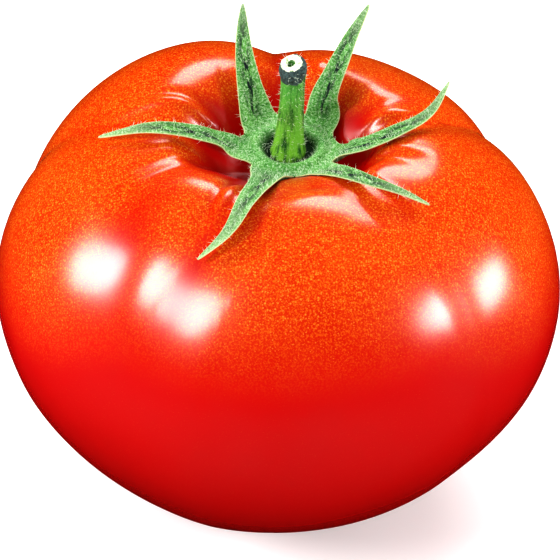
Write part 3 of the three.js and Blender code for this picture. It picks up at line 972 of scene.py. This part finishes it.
# Stalk skin: juicy yellow-green at the foot, darker up the shaded ribs, under pale down.
material, tree, shader, place = new_material("green_stalk")
share_up = add_node(tree, "ShaderNodeAttribute", {"attribute_name": "share"}).outputs["Fac"]
fibre_lie = add_node(
    tree, "ShaderNodeMapping", None, {"Vector": place, "Scale": (1.0, 1.0, 0.15)}
).outputs["Vector"]
fibres = add_node(
    tree,
    "ShaderNodeTexNoise",
    None,
    {"Vector": fibre_lie, "Scale": 1 / (0.8 * MM), "Detail": 4.0, "Roughness": 0.6},
).outputs["Fac"]
down = add_node(
    tree,
    "ShaderNodeTexNoise",
    None,
    {"Vector": place, "Scale": 1 / (0.25 * MM), "Detail": 2.0, "Roughness": 0.8},
).outputs["Fac"]
foot_share = add_node(
    tree,
    "ShaderNodeMapRange",
    None,
    {"Value": share_up, "From Min": 0.1, "From Max": 0.75},
).outputs["Result"]
stalk_green = add_node(
    tree,
    "ShaderNodeMix",
    {"data_type": "RGBA"},
    {FACTOR: foot_share, FIRST: linear("#86C23A"), SECOND: linear("#55A544")},
).outputs[MIXED]
fibre_share = add_node(
    tree, "ShaderNodeMapRange", None, {"Value": fibres, "From Min": 0.45, "From Max": 0.65}
).outputs["Result"]
fibred = add_node(
    tree,
    "ShaderNodeMix",
    {"data_type": "RGBA"},
    {FACTOR: fibre_share, FIRST: stalk_green, SECOND: linear("#1F5A1E")},
).outputs[MIXED]
down_share = add_node(
    tree,
    "ShaderNodeMapRange",
    None,
    {"Value": down, "From Min": 0.5, "From Max": 0.75, "To Max": 0.6},
).outputs["Result"]
downy = add_node(
    tree,
    "ShaderNodeMix",
    {"data_type": "RGBA"},
    {FACTOR: down_share, FIRST: fibred, SECOND: linear("#B7DB8C")},
).outputs[MIXED]
tree.links.new(downy, shader.inputs["Base Color"])
shader.inputs["Roughness"].default_value = 0.55
stalk_bump = add_node(
    tree, "ShaderNodeBump", None, {"Height": fibres, "Strength": 0.5, "Distance": 0.1 * MM}
).outputs["Normal"]
tree.links.new(stalk_bump, shader.inputs["Normal"])
stem.data.materials.append(material)

# Knuckle: the corky, blue-grey swelling at the joint of the stalk.
material, tree, shader, place = new_material("corky_knuckle")
bark = add_node(
    tree,
    "ShaderNodeTexNoise",
    None,
    {"Vector": place, "Scale": 1 / (0.45 * MM), "Detail": 4.0, "Roughness": 0.75},
).outputs["Fac"]
bark_share = add_node(
    tree, "ShaderNodeMapRange", None, {"Value": bark, "From Min": 0.35, "From Max": 0.7}
).outputs["Result"]
bark_colour = add_node(
    tree,
    "ShaderNodeMix",
    {"data_type": "RGBA"},
    {FACTOR: bark_share, FIRST: linear("#16211F"), SECOND: linear("#5E7A76")},
).outputs[MIXED]
tree.links.new(bark_colour, shader.inputs["Base Color"])
shader.inputs["Roughness"].default_value = 0.65
bark_bump = add_node(
    tree, "ShaderNodeBump", None, {"Height": bark, "Strength": 0.7, "Distance": 0.15 * MM}
).outputs["Normal"]
tree.links.new(bark_bump, shader.inputs["Normal"])
stem.data.materials.append(material)

# Cut pith: moist, creamy white, with a green ring of wet tissue round the bore.
material, tree, shader, place = new_material("cut_pith")
pith = add_node(
    tree,
    "ShaderNodeTexNoise",
    None,
    {"Vector": place, "Scale": 1 / (0.5 * MM), "Detail": 2.0, "Roughness": 0.6},
).outputs["Fac"]
pith_share = add_node(
    tree, "ShaderNodeMapRange", None, {"Value": pith, "From Min": 0.55, "From Max": 0.7}
).outputs["Result"]
pith_colour = add_node(
    tree,
    "ShaderNodeMix",
    {"data_type": "RGBA"},
    {FACTOR: pith_share, FIRST: linear("#F2F7DC"), SECOND: linear("#8DBE62")},
).outputs[MIXED]
tree.links.new(pith_colour, shader.inputs["Base Color"])
shader.inputs["Roughness"].default_value = 0.45
stem.data.materials.append(material)

# Wet green lining of the bore.
material, tree, shader, place = new_material("wet_bore")
wet = add_node(
    tree,
    "ShaderNodeTexNoise",
    None,
    {"Vector": place, "Scale": 1 / (0.3 * MM), "Detail": 2.0},
).outputs["Fac"]
wet_colour = add_node(
    tree,
    "ShaderNodeMix",
    {"data_type": "RGBA"},
    {FACTOR: wet, FIRST: linear("#1F5A18"), SECOND: linear("#4F8F34")},
).outputs[MIXED]
tree.links.new(wet_colour, shader.inputs["Base Color"])
shader.inputs["Roughness"].default_value = 0.35
stem.data.materials.append(material)
for face in stem.data.polygons:
    middle = face.center
    up = (middle - cut_middle).dot(CUT_TILT)
    off = (middle - cut_middle - BORE_MIDDLE - CUT_TILT * up).length
    if off < BORE_RADIUS and up > -3 * MM:
        face.material_index = BORE_LINING
    elif up > -0.5 * MM and off < CUT_RADIUS:
        face.material_index = PITH
    elif up > -KNUCKLE_HEIGHT:
        face.material_index = KNUCKLE_BARK
    else:
        face.material_index = STALK_SKIN
add_hairs(stem, count=STEM_HAIRS, seed=11)
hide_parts("stem")
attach(stem, "root")


# ---- Studio -------------------------------------------------------------------------------------------
# A plain white light table under a white tent, with two small soft boxes on each side, a wide one behind
# and above, and the camera looking down on the front of the fruit.
STUDIO_MIDDLE = Vector((0, 0, 35 * MM))
SIDE_DISTANCE = 0.63


def soft_box(azimuth, elevation, distance, width, height, energy):
    """An oval lamp that looks at the fruit. Azimuth is in degrees from +X, counter-clockwise."""
    way = Vector(
        (
            math.cos(math.radians(azimuth)) * math.cos(math.radians(elevation)),
            math.sin(math.radians(azimuth)) * math.cos(math.radians(elevation)),
            math.sin(math.radians(elevation)),
        )
    )
    bpy.ops.object.light_add(type="AREA", location=STUDIO_MIDDLE + way * distance)
    lamp = bpy.context.object
    lamp.rotation_euler = (-way).to_track_quat("-Z", "Y").to_euler()
    lamp.data.shape = "ELLIPSE"
    lamp.data.size = width
    lamp.data.size_y = height
    lamp.data.energy = energy


soft_box(azimuth=-175, elevation=23, distance=SIDE_DISTANCE, width=0.14, height=0.24, energy=1.2)
soft_box(azimuth=-140, elevation=40, distance=SIDE_DISTANCE, width=0.16, height=0.26, energy=1.4)
soft_box(azimuth=-24, elevation=20, distance=SIDE_DISTANCE, width=0.15, height=0.17, energy=0.95)
soft_box(azimuth=0, elevation=9.5, distance=SIDE_DISTANCE, width=0.11, height=0.18, energy=0.75)
soft_box(azimuth=74, elevation=50, distance=0.7, width=0.56, height=0.36, energy=2.7)
world = bpy.data.worlds.new("white_tent")
world.use_nodes = True
world.node_tree.nodes["Background"].inputs["Color"].default_value = (1, 1, 1, 1)
world.node_tree.nodes["Background"].inputs["Strength"].default_value = 0.38
world.cycles_visibility.glossy = False  # the boxes alone are mirrored, as in a dark studio
bpy.context.scene.world = world

bpy.ops.mesh.primitive_plane_add(size=4, location=(0, 0, cad_bounds[0].z))
floor = bpy.context.object
floor.name = "table"
# White acrylic light table, lit a little from below.
material, tree, shader, place = new_material("white_acrylic")
shader.inputs["Base Color"].default_value = linear("#FFFFFF")
shader.inputs["Roughness"].default_value = 0.9
shader.inputs["Emission Color"].default_value = (1, 1, 1, 1)
shader.inputs["Emission Strength"].default_value = 0.2
floor.data.materials.append(material)
floor.visible_glossy = False

CAMERA_ELEVATION = math.radians(40)
CAMERA_DISTANCE = 0.6
CAMERA_AIM = Vector((0, 0, 30 * MM))
PICTURE_WIDTH = 80.46 * MM  # what the picture shows from side to side at that distance
bpy.ops.object.camera_add()
camera = bpy.context.object
back = Vector((0, -math.cos(CAMERA_ELEVATION), math.sin(CAMERA_ELEVATION)))
camera.location = CAMERA_AIM + back * CAMERA_DISTANCE
camera.rotation_euler = (-back).to_track_quat("-Z", "Y").to_euler()
camera.data.sensor_width = 36
camera.data.lens = camera.data.sensor_width * CAMERA_DISTANCE / PICTURE_WIDTH
camera.data.shift_x = 0.0043
camera.data.shift_y = 0.0464
camera.data.clip_start = 0.01
bpy.context.scene.camera = camera
bpy.context.scene.view_settings.view_transform = "Standard"
bpy.context.scene.view_settings.look = "High Contrast"
